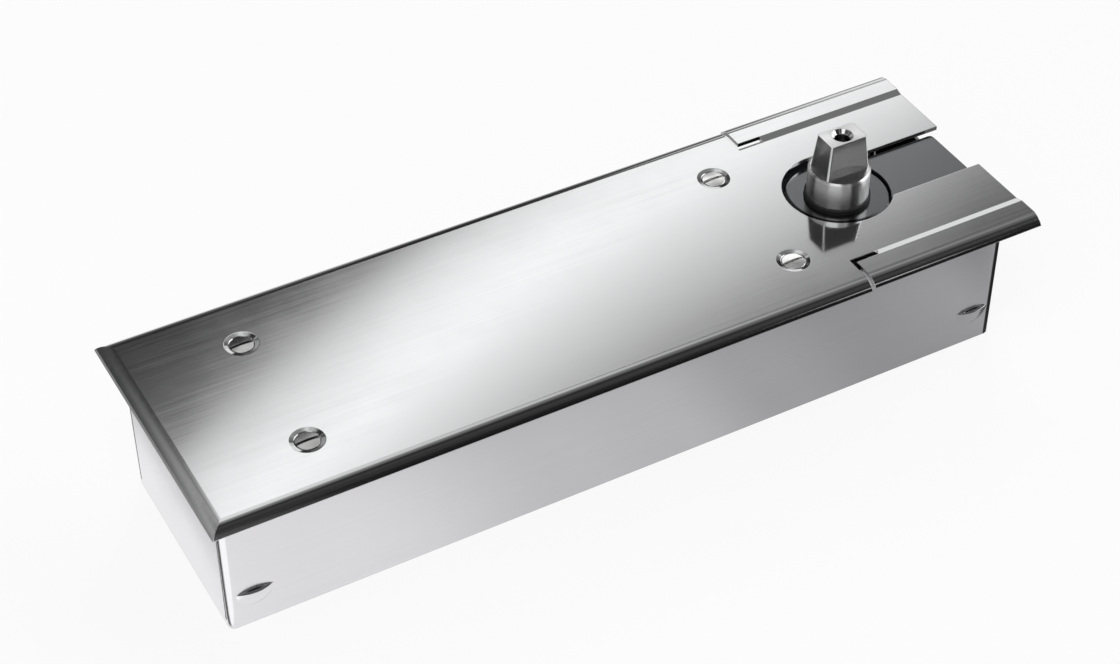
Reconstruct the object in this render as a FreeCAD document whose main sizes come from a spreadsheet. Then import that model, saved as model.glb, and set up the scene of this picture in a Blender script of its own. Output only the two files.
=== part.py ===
"""Floor spring door closer for a pivoted glass door.

The origin is on the spindle axis, in the plane of the box's underside. +X points to the end of the cover with
the spindle, and +Z points up. The cover's rim lies on the finished floor, at floor_height.
"""

import FreeCAD, Part
import math
import os

import Sketcher

doc = FreeCAD.newDocument("FloorSpring")
sheet = doc.addObject("Spreadsheet::Sheet", "Sizes")


class Size:
    """A length: its number, and the spreadsheet formula that gives it."""

    def __init__(self, number, formula):
        self.number = number
        self.formula = formula

    def __add__(self, other):
        return Size(self.number + number(other), f"({self.formula} + {formula(other)})")

    def __radd__(self, other):
        return Size(number(other) + self.number, f"({formula(other)} + {self.formula})")

    def __sub__(self, other):
        return Size(self.number - number(other), f"({self.formula} - {formula(other)})")

    def __rsub__(self, other):
        return Size(number(other) - self.number, f"({formula(other)} - {self.formula})")

    def __mul__(self, other):
        return Size(self.number * number(other), f"({self.formula} * {formula(other)})")

    def __rmul__(self, other):
        return Size(number(other) * self.number, f"({formula(other)} * {self.formula})")

    def __truediv__(self, other):
        return Size(self.number / number(other), f"({self.formula} / {formula(other)})")

    def __neg__(self):
        return Size(-self.number, f"(0 - {self.formula})")


def number(value):
    return value.number if isinstance(value, Size) else float(value)


def formula(value):
    return value.formula if isinstance(value, Size) else repr(value)


def size(alias, value):
    """A driving dimension in the next row of the spreadsheet."""
    row = len(size_names) + 1
    size_names.append(alias)
    sheet.set(f"A{row}", alias)
    sheet.set(f"B{row}", str(value))
    sheet.setAlias(f"B{row}", alias)
    return Size(float(value), f"Sizes.{alias}")


def arc_radius(half_chord, height):
    """Radius of an arc with this half chord and height."""
    return (half_chord * half_chord + height * height) / (2 * height)


size_names = []

# Cover plate
cover_length = size("cover_length", 300)
cover_width = size("cover_width", 96)
cover_sheet = size("cover_sheet", 1.5)
floor_height = size("floor_height", 51)
rim_drop = size("rim_drop", 3)
rim_run = size("rim_run", 5)
spindle_inset = size("spindle_inset", 50)
opening_radius = size("opening_radius", 19)
slot_width = size("slot_width", 24.5)
joggle_inner = size("joggle_inner", 34)
joggle_width = size("joggle_width", 2.6)
joggle_step = size("joggle_step", 0.8)
slit_distance = size("slit_distance", 17)
slit_width = size("slit_width", 1)
notch_length = size("notch_length", 8.7)
screw_pitch_long = size("screw_pitch_long", 175)
screw_pitch_wide = size("screw_pitch_wide", 50)
screw_inset = size("screw_inset", 34)
dimple_radius = size("dimple_radius", 5.7)
dimple_depth = size("dimple_depth", 0.4)
dimple_wall = size("dimple_wall", 0.9)
cover_head_radius = size("cover_head_radius", 4)
cover_head_dome = size("cover_head_dome", 0.35)
cover_head_gap = size("cover_head_gap", 0.25)
cover_screw_radius = size("cover_screw_radius", 2.4)
cover_screw_length = size("cover_screw_length", 14)
driver_slot = size("driver_slot", 1)
driver_slot_depth = size("driver_slot_depth", 1.6)

# Cement box and rails
box_length = size("box_length", 288)
box_width = size("box_width", 76)
box_sheet = size("box_sheet", 1.2)
box_inset = size("box_inset", 7)
box_corner = size("box_corner", 2.4)
seam_width = size("seam_width", 0.9)
seam_foot = size("seam_foot", 2.5)
louvre_radius = size("louvre_radius", 6.3)
louvre_stand = size("louvre_stand", 1.6)
louvre_height = size("louvre_height", 14)
louvre_inset = size("louvre_inset", 9.4)
rail_width = size("rail_width", 18)
foot_gap = size("foot_gap", 5)

# Closer housing
lug_inset = size("lug_inset", 6)
lug_length = size("lug_length", 12)
lug_side_gap = size("lug_side_gap", 2)
lug_height = size("lug_height", 8)
housing_width = size("housing_width", 64)
housing_height = size("housing_height", 41)
housing_chamfer = size("housing_chamfer", 12)
nose_length = size("nose_length", 16)
nose_radius = size("nose_radius", 22)
barrel_radius = size("barrel_radius", 16)
chamber_radius = size("chamber_radius", 27)
roof_thickness = size("roof_thickness", 10)
cover_boss_radius = size("cover_boss_radius", 6)
fixing_screw_radius = size("fixing_screw_radius", 3)
fixing_head_radius = size("fixing_head_radius", 4.8)
fixing_edge = size("fixing_edge", 5)
fixing_inset_open = size("fixing_inset_open", 8)
fixing_inset_closed = size("fixing_inset_closed", 10)
fixing_hole_gap = size("fixing_hole_gap", 0.3)

# Spindle
shank_radius = size("shank_radius", 10.65)
shank_above_floor = size("shank_above_floor", 12.4)
taper_height = size("taper_height", 12.9)
taper_foot_long = size("taper_foot_long", 16.8)
taper_foot_wide = size("taper_foot_wide", 10.7)
taper_top_long = size("taper_top_long", 14.1)
taper_top_wide = size("taper_top_wide", 8.9)
tip_hole_radius = size("tip_hole_radius", 2.5)
tip_hole_depth = size("tip_hole_depth", 12)
tip_hole_chamfer = size("tip_hole_chamfer", 1.2)
journal_radius = size("journal_radius", 9)
collar_radius = size("collar_radius", 12)
edge_chamfer = size("edge_chamfer", 0.6)
head_arris = size("head_arris", 0.7)

# Cap, seal and bearings
cap_radius = size("cap_radius", 18.2)
cap_lip = size("cap_lip", 0.3)
seal_depth = size("seal_depth", 2.8)
seal_width = size("seal_width", 0.6)
seal_stand = size("seal_stand", 1.9)
seal_chamfer = size("seal_chamfer", 0.3)
roller_radius = size("roller_radius", 2)
race_thickness = size("race_thickness", 1.7)
race_length = size("race_length", 8.8)
bottom_cap_radius = size("bottom_cap_radius", 29)
bottom_cap_floor = size("bottom_cap_floor", 1.2)
bush_length = size("bush_length", 4.1)
bush_wall = size("bush_wall", 2)
thrust_outer_radius = size("thrust_outer_radius", 16)
thrust_washer = size("thrust_washer", 0.95)
thrust_roller_radius = size("thrust_roller_radius", 1.05)
thrust_side_gap = size("thrust_side_gap", 0.3)
running_gap = size("running_gap", 0.05)
press_gap = size("press_gap", 0.02)

# Cam and follower
cam_thickness = size("cam_thickness", 12)
cam_rest_distance = size("cam_rest_distance", 20.5)
cam_rise_per_radian = size("cam_rise_per_radian", 5)
cam_side_gap = size("cam_side_gap", 0.3)
follower_radius = size("follower_radius", 7)
pin_radius = size("pin_radius", 3.5)
yoke_plate = size("yoke_plate", 4)
yoke_half_width = size("yoke_half_width", 6.5)
key_width = size("key_width", 4)

# Piston, spring and plug
piston_front_gap = size("piston_front_gap", 4.5)
piston_length = size("piston_length", 30)
piston_spigot_radius = size("piston_spigot_radius", 9)
piston_spigot_length = size("piston_spigot_length", 6)
oil_groove_width = size("oil_groove_width", 1.2)
oil_groove_depth = size("oil_groove_depth", 0.8)
oil_groove_pitch = size("oil_groove_pitch", 6)
valve_seat_radius = size("valve_seat_radius", 1.6)
ball_radius = size("ball_radius", 2.5)
ball_bore_radius = size("ball_bore_radius", 2.8)
ball_travel = size("ball_travel", 0.9)
stop_thickness = size("stop_thickness", 1)
spring_wire = size("spring_wire", 4.6)
spring_outer_radius = size("spring_outer_radius", 15.2)
spring_length = size("spring_length", 128)
spring_turns = size("spring_turns", 12)
seat_thickness = size("seat_thickness", 4)
plug_radius = size("plug_radius", 18.4)
plug_length = size("plug_length", 20)
plug_end_wall = size("plug_end_wall", 8)
wrench_hole_radius = size("wrench_hole_radius", 2)
wrench_hole_depth = size("wrench_hole_depth", 3)
plug_wrench_distance = size("plug_wrench_distance", 11.7)
cap_wrench_distance = size("cap_wrench_distance", 22.5)
plug_seal_inset = size("plug_seal_inset", 2.5)
adjuster_seal_inset = size("adjuster_seal_inset", 3)
adjuster_radius = size("adjuster_radius", 5)
adjuster_stand = size("adjuster_stand", 3)
seal_wire = size("seal_wire", 0.9)

# Regulating screws and filler
valve_offset = size("valve_offset", 24)
first_valve_distance = size("first_valve_distance", 62)
valve_pitch = size("valve_pitch", 28)
valve_head_radius = size("valve_head_radius", 4)
valve_stem_radius = size("valve_stem_radius", 3)
valve_length = size("valve_length", 17)
valve_head_length = size("valve_head_length", 4)
valve_needle_length = size("valve_needle_length", 4)
valve_boss_wall = size("valve_boss_wall", 2.5)
filler_distance = size("filler_distance", 118)
filler_thread_radius = size("filler_thread_radius", 4)
filler_head_radius = size("filler_head_radius", 6.5)
filler_head_height = size("filler_head_height", 3.3)
filler_boss_stand = size("filler_boss_stand", 1)
filler_boss_wall = size("filler_boss_wall", 1.5)
filler_washer_height = size("filler_washer_height", 1)

# Slot strip
strip_width = size("strip_width", 22.4)
strip_sheet = size("strip_sheet", 1.5)
strip_raise = size("strip_raise", 1)
strip_end_gap = size("strip_end_gap", 3)
strip_leg_inset = size("strip_leg_inset", 5)
seat_gap = size("seat_gap", 0.3)

# Places that follow from the driving dimensions
cover_top = floor_height + rim_drop
cover_underside = cover_top - cover_sheet
cover_closed_end = spindle_inset - cover_length
rim_radius = arc_radius(rim_run, rim_drop)
box_open_end = spindle_inset - box_inset
box_closed_end = box_open_end - box_length
housing_top = foot_gap + housing_height
lug_top = foot_gap + lug_height
lug_open_end = box_open_end - lug_inset
lug_closed_end = box_closed_end + lug_inset
lug_half_width = box_width / 2 - box_sheet - lug_side_gap
nose_end = lug_closed_end + lug_length / 2
barrel_start = nose_end + nose_length
drum_radius = housing_width / 2
thrust_seat = foot_gap + bottom_cap_floor + bush_length
thrust_stack = 2 * thrust_washer + 2 * thrust_roller_radius + 2 * running_gap
chamber_floor = thrust_seat + thrust_stack
chamber_roof = housing_top - roof_thickness
bore_height = foot_gap + housing_height / 2
roller_centre = shank_radius + roller_radius + running_gap
race_inner = roller_centre + roller_radius + running_gap
race_outer = race_inner + race_thickness
seal_radius = shank_radius + running_gap + seal_width
strip_top = floor_height + strip_raise
boss_top = cover_underside - dimple_depth
cover_screw_far = screw_inset + screw_pitch_long
shank_top = floor_height + shank_above_floor
spindle_top = shank_top + taper_height
cam_foot = bore_height - cam_thickness / 2
cam_head = bore_height + cam_thickness / 2
yoke_inside_low = cam_foot - cam_side_gap
yoke_inside_high = cam_head + cam_side_gap
piston_front = -(cam_rest_distance + follower_radius + piston_front_gap)
piston_back = piston_front - piston_length
spring_seat_face = piston_back - spring_length
seat_back = spring_seat_face - seat_thickness
plug_front = nose_end + plug_length
filler_seat = housing_top + filler_boss_stand
ball_seat = piston_back + piston_length / 3
ball_contact = Size(
    math.sqrt(number(ball_radius) ** 2 - number(valve_seat_radius) ** 2),
    f"sqrt({formula(ball_radius * ball_radius - valve_seat_radius * valve_seat_radius)})",
)
ball_place = ball_seat - ball_contact - running_gap
stop_face = ball_place - ball_contact - ball_travel - running_gap

# Counts and angles
thrust_roller_count = 16
top_roller_space = 0.3
cam_last_angle = 138
oil_groove_count = 3


def bind(thing, formulas):
    """Sets properties of an object from sizes, by their expressions."""
    for path, value in formulas.items():
        thing.setExpression(path, formula(value))


def place(thing, x=0, y=0, z=0):
    bind(thing, {".Placement.Base.x": x, ".Placement.Base.y": y, ".Placement.Base.z": z})


def body(name):
    thing = doc.addObject("PartDesign::Body", name)
    thing.Label = name
    return thing


def sketch(owner, name, plane, offset=0):
    """An empty sketch on one of the body's own planes, moved along the plane's normal."""
    thing = owner.newObject("Sketcher::SketchObject", name)
    support = [item for item in owner.Origin.OriginFeatures if item.Role == plane][0]
    thing.AttachmentSupport = [(support, "")]
    thing.MapMode = "FlatFace"
    bind(thing, {".AttachmentOffset.Base.z": offset})
    return thing


def locate(drawing, geometry, point, x, y):
    """Fixes a point of a sketch at x, y from the sketch's origin."""
    for kind, value in (("DistanceX", x), ("DistanceY", y)):
        rule = Sketcher.Constraint(kind, -1, 1, geometry, point, number(value))
        index = drawing.addConstraint(rule)
        drawing.setExpression(f"Constraints[{index}]", formula(value))


def outline(drawing, points):
    """A closed polygon whose corners all follow the sizes."""
    corners = [FreeCAD.Vector(number(x), number(y), 0) for x, y in points]
    first = drawing.GeometryCount
    count = len(corners)
    for index, corner in enumerate(corners):
        drawing.addGeometry(Part.LineSegment(corner, corners[(index + 1) % count]), False)
    for index in range(count):
        following = first + (index + 1) % count
        drawing.addConstraint(Sketcher.Constraint("Coincident", first + index, 2, following, 1))
    for index, (x, y) in enumerate(points):
        locate(drawing, first + index, 1, x, y)


def rectangle(drawing, x_low, x_high, y_low, y_high):
    outline(drawing, [(x_low, y_low), (x_high, y_low), (x_high, y_high), (x_low, y_high)])


def circle(drawing, x, y, radius):
    centre = FreeCAD.Vector(number(x), number(y), 0)
    index = drawing.addGeometry(Part.Circle(centre, FreeCAD.Vector(0, 0, 1), number(radius)), False)
    locate(drawing, index, 3, x, y)
    rule = drawing.addConstraint(Sketcher.Constraint("Radius", index, number(radius)))
    drawing.setExpression(f"Constraints[{rule}]", formula(radius))


def pad(owner, drawing, length, name):
    thing = owner.newObject("PartDesign::Pad", name)
    thing.Profile = drawing
    bind(thing, {"Length": length})
    drawing.Visibility = False
    return thing


def pocket(owner, drawing, length, name):
    """Cuts from the sketch along its plane's normal."""
    thing = owner.newObject("PartDesign::Pocket", name)
    thing.Profile = drawing
    thing.Reversed = True
    bind(thing, {"Length": length})
    return thing


def turned(name, points, axis="V_Axis", x=0, y=0, z=0):
    """A turned piece: a half section in the XZ plane, revolved about the sketch's axis."""
    owner = body(name)
    drawing = sketch(owner, name + "_section", "XZ_Plane")
    outline(drawing, points)
    thing = owner.newObject("PartDesign::Revolution", name + "_turn")
    thing.Profile = drawing
    thing.ReferenceAxis = (drawing, [axis])
    thing.Angle = 360
    place(owner, x, y, z)
    return owner


def block(name, x_low, x_high, y_low, y_high, z_low, z_high):
    thing = doc.addObject("Part::Box", name)
    bind(thing, {"Length": x_high - x_low, "Width": y_high - y_low, "Height": z_high - z_low})
    place(thing, x_low, y_low, z_low)
    return thing


def rod(name, radius, x, y, z_low, z_high):
    thing = doc.addObject("Part::Cylinder", name)
    bind(thing, {"Radius": radius, "Height": z_high - z_low})
    place(thing, x, y, z_low)
    return thing


def cone(name, foot_radius, head_radius, x, y, z_low, z_high):
    thing = doc.addObject("Part::Cone", name)
    bind(thing, {"Radius1": foot_radius, "Radius2": head_radius, "Height": z_high - z_low})
    place(thing, x, y, z_low)
    return thing


def fuse(name, things):
    thing = doc.addObject("Part::MultiFuse", name)
    thing.Shapes = things
    thing.Refine = True
    return thing


def cut(name, base, tools):
    thing = doc.addObject("Part::Cut", name)
    thing.Base = base
    thing.Tool = tools[0] if len(tools) == 1 else fuse(name + "_tools", tools)
    thing.Refine = True
    return thing


def common(name, base, tool):
    thing = doc.addObject("Part::Common", name)
    thing.Base = base
    thing.Tool = tool
    return thing


def group(name, things):
    thing = doc.addObject("Part::Compound", name)
    thing.Links = things
    return thing


def on_both_sides():
    return ((-1, "front"), (1, "back"))


def side_block(name, side, x_low, x_high, inner, outer, z_low, z_high):
    """A block between two distances from the XZ plane, on one side of it."""
    y_low, y_high = (inner, outer) if side > 0 else (-outer, -inner)
    return block(name, x_low, x_high, y_low, y_high, z_low, z_high)


def screw_places():
    """The four cover screws, as pairs of x and y."""
    return [(x, side * screw_pitch_wide / 2) for x in (-screw_inset, -cover_screw_far) for side in (-1, 1)]


def fixing_places():
    """The four screws through the housing's lugs."""
    across = lug_half_width - fixing_edge
    places = []
    for x in (lug_open_end - fixing_inset_open, lug_closed_end + fixing_inset_closed):
        places += [(x, side * across) for side in (-1, 1)]
    return places


def cover_shell(name, lift):
    """The pressed shell, raised by lift: rounded down on three sides and open at the spindle end."""
    owner = body(name)
    outset = rim_radius - rim_run
    top = cover_top + lift
    skirt = 2 * cover_sheet
    drawing = sketch(owner, name + "_plan", "XY_Plane", top - rim_radius - skirt)
    half = cover_width / 2 + outset
    rectangle(drawing, cover_closed_end - outset, spindle_inset, -half, half)
    blank = pad(owner, drawing, rim_radius + skirt, name + "_blank")
    doc.recompute()
    high = [
        f"Edge{index}"
        for index, edge in enumerate(blank.Shape.Edges, start=1)
        if abs(edge.CenterOfMass.z - number(top)) < 1e-4
        and edge.CenterOfMass.x < number(spindle_inset) - 1e-4
    ]
    rounding = owner.newObject("PartDesign::Fillet", name + "_rim")
    rounding.Base = (blank, high)
    bind(rounding, {"Radius": rim_radius})
    doc.recompute()
    open_faces = [
        f"Face{index}"
        for index, face in enumerate(rounding.Shape.Faces, start=1)
        if abs(face.CenterOfMass.z - number(top - rim_radius - skirt)) < 1e-3
        or abs(face.CenterOfMass.x - number(spindle_inset)) < 1e-3
    ]
    hollow = owner.newObject("PartDesign::Thickness", name + "_hollow")
    hollow.Base = (rounding, open_faces)
    hollow.Reversed = True
    bind(hollow, {"Value": cover_sheet})
    trim = sketch(owner, name + "_trim", "XY_Plane", top - 2 * rim_radius)
    rectangle(trim, cover_closed_end - 2 * outset - 1, spindle_inset + 1, -half - 1, half + 1)
    pocket(owner, trim, 2 * rim_radius - rim_drop, name + "_edge")
    return owner


def cover_plate():
    """Cover with relief slits, raised side flanges by the slot, the opening and four dimples."""
    plate = cover_shell("cover_pressing", 0)
    raised = cover_shell("flange_pressing", joggle_step)
    low, high = cover_top - 2 * rim_radius, cover_top + 2 * rim_radius
    edge = cover_width
    joggle_outer = joggle_inner + joggle_width
    pieces = []
    cutters = []
    for side, word in on_both_sides():
        flange_space = side_block(
            f"flange_space_{word}", side, -slit_distance, spindle_inset + 1, joggle_outer, edge, low, high
        )
        pieces.append(common(f"flange_{word}", raised, flange_space))
        cutters.append(
            side_block(
                f"flange_cutter_{word}", side, -(slit_distance + slit_width), spindle_inset + 1,
                joggle_inner, edge, low, high,
            )
        )
        band = body(f"joggle_{word}")
        section = sketch(band, f"joggle_{word}_section", "YZ_Plane", notch_length - slit_distance)
        outline(
            section,
            [
                (side * joggle_inner, cover_underside),
                (side * joggle_outer, cover_underside + joggle_step),
                (side * joggle_outer, cover_top + joggle_step),
                (side * joggle_inner, cover_top),
            ],
        )
        pad(band, section, spindle_inset + slit_distance - notch_length, f"joggle_{word}_pad")
        pieces.append(band)
    pieces.append(cut("cover_centre", plate, cutters))
    holes = []
    for index, (x, y) in enumerate(screw_places(), start=1):
        top_radius = cover_head_radius + cover_head_gap
        foot = cover_underside - dimple_depth
        head_seat = cover_top - dimple_depth
        pieces.append(
            cone(f"dimple_{index}", top_radius + dimple_wall, dimple_radius + dimple_wall, x, y, foot,
                 cover_underside)
        )
        holes.append(cone(f"dimple_cut_{index}", top_radius, dimple_radius, x, y, head_seat, cover_top))
        foot_radius = cover_screw_radius + cover_head_gap
        holes.append(cone(f"dimple_seat_{index}", foot_radius, top_radius, x, y, foot, head_seat))
    holes.append(rod("spindle_opening", opening_radius, 0, 0, low, high))
    half_slot = slot_width / 2
    holes.append(block("spindle_slot", 0, spindle_inset + 1, -half_slot, half_slot, low, high))
    return cut("cover_plate", fuse("cover_whole", pieces), holes)


def cover_screw(index, x, y):
    """Slotted raised countersunk screw in its dimple."""
    foot = boss_top
    seat = cover_top - dimple_depth
    dome_radius = arc_radius(cover_head_radius, cover_head_dome)
    ball = doc.addObject("Part::Sphere", f"cover_screw_{index}_ball")
    bind(ball, {"Radius": dome_radius})
    place(ball, x, y, seat + cover_head_dome - dome_radius)
    head_top = seat + cover_head_dome
    trim = rod(f"cover_screw_{index}_trim", cover_head_radius, x, y, seat, head_top)
    dome = common(f"cover_screw_{index}_dome", ball, trim)
    head = cone(f"cover_screw_{index}_head", cover_screw_radius, cover_head_radius, x, y, foot, seat)
    shank = rod(f"cover_screw_{index}_shank", cover_screw_radius, x, y, seat - cover_screw_length, foot)
    half = driver_slot / 2
    slot = block(
        f"cover_screw_{index}_slot", x - 2 * cover_head_radius, x + 2 * cover_head_radius,
        y - half, y + half, head_top - driver_slot_depth, head_top + 1,
    )
    return cut(f"cover_screw_{index}", fuse(f"cover_screw_{index}_blank", [shank, head, dome]), [slot])


def cement_box():
    """Folded tray with open corner seams, a lowered edge under the slot strip and pressed anchor louvres."""
    owner = body("box_tray")
    plan = sketch(owner, "box_plan", "XY_Plane")
    rectangle(plan, box_closed_end, box_open_end, -box_width / 2, box_width / 2)
    blank = pad(owner, plan, floor_height, "box_blank")
    doc.recompute()
    upright = [
        f"Edge{index}"
        for index, edge in enumerate(blank.Shape.Edges, start=1)
        if abs(edge.CenterOfMass.z - number(floor_height) / 2) < 1e-4
    ]
    bends = owner.newObject("PartDesign::Fillet", "box_bends")
    bends.Base = (blank, upright)
    bind(bends, {"Radius": box_corner})
    doc.recompute()
    mouth = [
        f"Face{index}"
        for index, face in enumerate(bends.Shape.Faces, start=1)
        if abs(face.CenterOfMass.z - number(floor_height)) < 1e-4
    ]
    hollow = owner.newObject("PartDesign::Thickness", "box_hollow")
    hollow.Base = (bends, mouth)
    hollow.Reversed = True
    bind(hollow, {"Value": box_sheet})
    seams = sketch(owner, "box_seams", "XY_Plane", seam_foot)
    seam_outer = box_width / 2 - box_corner
    for x_low, x_high in (
        (box_closed_end - 1, box_closed_end + box_sheet + 0.2),
        (box_open_end - box_sheet - 0.2, box_open_end + 1),
    ):
        rectangle(seams, x_low, x_high, -seam_outer, seam_width - seam_outer)
        rectangle(seams, x_low, x_high, seam_outer - seam_width, seam_outer)
    pocket(owner, seams, floor_height, "box_seam_cut")
    edge = sketch(owner, "box_lowered_edge", "XY_Plane", strip_top - strip_sheet)
    rectangle(edge, box_open_end - 2 * box_sheet, box_open_end + 1, -slot_width / 2, slot_width / 2)
    pocket(owner, edge, floor_height, "box_lowered_edge_cut")
    shells = [owner]
    holes = []
    for x, end in ((box_closed_end + louvre_inset, "closed"), (box_open_end - louvre_inset, "open")):
        for side, word in on_both_sides():
            name = f"louvre_{end}_{word}"
            shell, hole = louvre(name, x, side)
            shells.append(shell)
            holes.append(hole)
    return cut("cement_box", fuse("box_with_louvres", shells), holes)


def louvre(name, x, side):
    """Lower half of a pressed dome, open at its upper edge, with the space behind it."""
    crown = arc_radius(louvre_radius, louvre_stand)
    face = box_width / 2
    solids = []
    for part, radius, inner in (("skin", crown, face), ("space", crown - box_sheet, face - 2 * box_sheet)):
        dome = doc.addObject("Part::Sphere", f"{name}_{part}_dome")
        bind(dome, {"Radius": radius})
        place(dome, x, side * (face + louvre_stand - crown), louvre_height)
        below = side_block(
            f"{name}_{part}_below", side, x - 2 * louvre_radius, x + 2 * louvre_radius,
            inner, face + 2 * louvre_stand, louvre_height - 2 * louvre_radius, louvre_height,
        )
        solids.append(common(f"{name}_{part}", dome, below))
    return solids


def rail(name, x_low):
    """Bar on the box floor with tapped holes for the housing screws."""
    x_high = x_low + rail_width
    bar = block(name + "_bar", x_low, x_high, -lug_half_width, lug_half_width, box_sheet, foot_gap)
    holes = [
        rod(f"{name}_hole_{index}", fixing_screw_radius, x, y, box_sheet, foot_gap)
        for index, (x, y) in enumerate(fixing_places(), start=1)
        if number(x_low) < number(x) < number(x_high)
    ]
    return cut(name, bar, holes)


def housing_screw(index, x, y):
    """Socket head screw through a lug into its rail."""
    name = f"housing_screw_{index}"
    shank = rod(name + "_shank", fixing_screw_radius, x, y, box_sheet + seat_gap, lug_top)
    head_top = lug_top + 2 * fixing_screw_radius
    head = rod(name + "_head", fixing_head_radius, x, y, lug_top, head_top)
    socket = doc.addObject("Part::Prism", name + "_hexagon")
    socket.Polygon = 6
    bind(socket, {"Circumradius": fixing_screw_radius, "Height": 2 * fixing_screw_radius})
    place(socket, x, y, head_top - fixing_screw_radius)
    return cut(name, fuse(name + "_blank", [shank, head]), [socket])


def closer_housing():
    """Cast body: lugged foot, spring barrel, spindle drum and bosses."""
    owner = body("closer_housing")
    foot = sketch(owner, "housing_foot", "XY_Plane", foot_gap)
    rectangle(foot, lug_closed_end, lug_open_end, -lug_half_width, lug_half_width)
    pad(owner, foot, lug_height, "housing_foot_pad")
    barrel = sketch(owner, "housing_barrel", "YZ_Plane", barrel_start)
    half = housing_width / 2
    shoulder = housing_top - housing_chamfer
    crown = half - housing_chamfer
    outline(
        barrel,
        [(-half, foot_gap), (half, foot_gap), (half, shoulder), (crown, housing_top), (-crown, housing_top),
         (-half, shoulder)],
    )
    pad(owner, barrel, -barrel_start, "housing_barrel_pad")
    nose = sketch(owner, "housing_nose", "YZ_Plane", nose_end)
    circle(nose, 0, bore_height, nose_radius)
    pad(owner, nose, nose_length, "housing_nose_pad")
    trim = sketch(owner, "housing_nose_trim", "XY_Plane", -foot_gap)
    rectangle(trim, nose_end - 1, barrel_start, -nose_radius - 1, nose_radius + 1)
    pocket(owner, trim, 2 * foot_gap, "housing_nose_flat")
    drum = sketch(owner, "housing_drum", "XY_Plane", foot_gap)
    circle(drum, 0, 0, drum_radius)
    pad(owner, drum, housing_height, "housing_drum_pad")
    bosses = sketch(owner, "housing_cover_bosses", "XY_Plane", lug_top)
    for x, y in screw_places():
        circle(bosses, x, y, cover_boss_radius)
    pad(owner, bosses, boss_top - lug_top, "housing_cover_boss_pad")
    valve_bosses = sketch(owner, "housing_valve_bosses", "XY_Plane", bore_height)
    for index in range(2):
        circle(valve_bosses, -first_valve_distance - index * valve_pitch, valve_offset,
               valve_head_radius + valve_boss_wall)
    pad(owner, valve_bosses, housing_top - bore_height, "housing_valve_boss_pad")
    filler_foot = bore_height + barrel_radius + edge_chamfer
    filler_boss = sketch(owner, "housing_filler_boss", "XY_Plane", filler_foot)
    circle(filler_boss, -filler_distance, 0, filler_head_radius + filler_boss_wall)
    pad(owner, filler_boss, filler_seat - filler_foot, "housing_filler_boss_pad")

    bore = sketch(owner, "housing_bore", "YZ_Plane", nose_end)
    circle(bore, 0, bore_height, barrel_radius)
    pocket(owner, bore, -nose_end, "housing_bore_cut")
    seat = sketch(owner, "housing_plug_seat", "YZ_Plane", nose_end)
    circle(seat, 0, bore_height, plug_radius + press_gap)
    pocket(owner, seat, plug_length, "housing_plug_seat_cut")
    chamber = sketch(owner, "housing_chamber", "XY_Plane", foot_gap)
    circle(chamber, 0, 0, chamber_radius)
    pocket(owner, chamber, chamber_roof - foot_gap, "housing_chamber_cut")
    cap_seat = sketch(owner, "housing_cap_seat", "XY_Plane", foot_gap)
    circle(cap_seat, 0, 0, bottom_cap_radius)
    pocket(owner, cap_seat, chamber_floor - foot_gap, "housing_cap_seat_cut")
    roof = sketch(owner, "housing_roof_bore", "XY_Plane", chamber_roof - 1)
    circle(roof, 0, 0, race_outer + press_gap)
    pocket(owner, roof, roof_thickness + 2, "housing_roof_cut")
    fixings = sketch(owner, "housing_fixings", "XY_Plane", foot_gap)
    for x, y in fixing_places():
        circle(fixings, x, y, fixing_screw_radius + fixing_hole_gap)
    pocket(owner, fixings, lug_height, "housing_fixing_cut")
    taps = sketch(owner, "housing_cover_taps", "XY_Plane", boss_top - cover_screw_length - 1)
    for x, y in screw_places():
        circle(taps, x, y, cover_screw_radius + running_gap)
    pocket(owner, taps, cover_screw_length + 2, "housing_cover_tap_cut")
    for word, radius, length in (
        ("head", valve_head_radius, valve_head_length), ("stem", valve_stem_radius, valve_length)
    ):
        depth = length + seat_gap
        drawing = sketch(owner, f"housing_valve_{word}", "XY_Plane", housing_top - depth)
        for index in range(2):
            circle(drawing, -first_valve_distance - index * valve_pitch, valve_offset, radius + running_gap)
        pocket(owner, drawing, depth + 1, f"housing_valve_{word}_cut")
    filler = sketch(owner, "housing_filler_hole", "XY_Plane", bore_height)
    circle(filler, -filler_distance, 0, filler_thread_radius + press_gap)
    pocket(owner, filler, housing_height, "housing_filler_cut")
    return owner


def slot_strip():
    """Folded strip that fills the slot from the cap to the end of the cover."""
    half = strip_width / 2
    end = spindle_inset - strip_end_gap
    owner = body("strip_folded")
    top = sketch(owner, "strip_plan", "XY_Plane", strip_top - strip_sheet)
    rectangle(top, 0, end, -half, half)
    plate = pad(owner, top, strip_sheet, "strip_plate")
    doc.recompute()
    corners = [
        f"Edge{index}"
        for index, edge in enumerate(plate.Shape.Edges, start=1)
        if abs(edge.CenterOfMass.x - number(end)) < 1e-4
        and abs(abs(edge.CenterOfMass.y) - number(half)) < 1e-4
    ]
    rounding = owner.newObject("PartDesign::Fillet", "strip_corners")
    rounding.Base = (plate, corners)
    bind(rounding, {"Radius": strip_sheet})
    legs = sketch(owner, "strip_legs", "XY_Plane", housing_top)
    for side in (-1, 1):
        low, high = sorted((side * half, side * (half - strip_sheet)), key=number)
        rectangle(legs, cap_radius + strip_sheet, drum_radius - strip_leg_inset, low, high)
    pad(owner, legs, strip_top - strip_sheet - housing_top, "strip_leg_pad")
    cap_space = rod("strip_cap_space", cap_radius + seat_gap, 0, 0, housing_top - 1, cover_top)
    return cut("slot_strip", owner, [cap_space])


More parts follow.
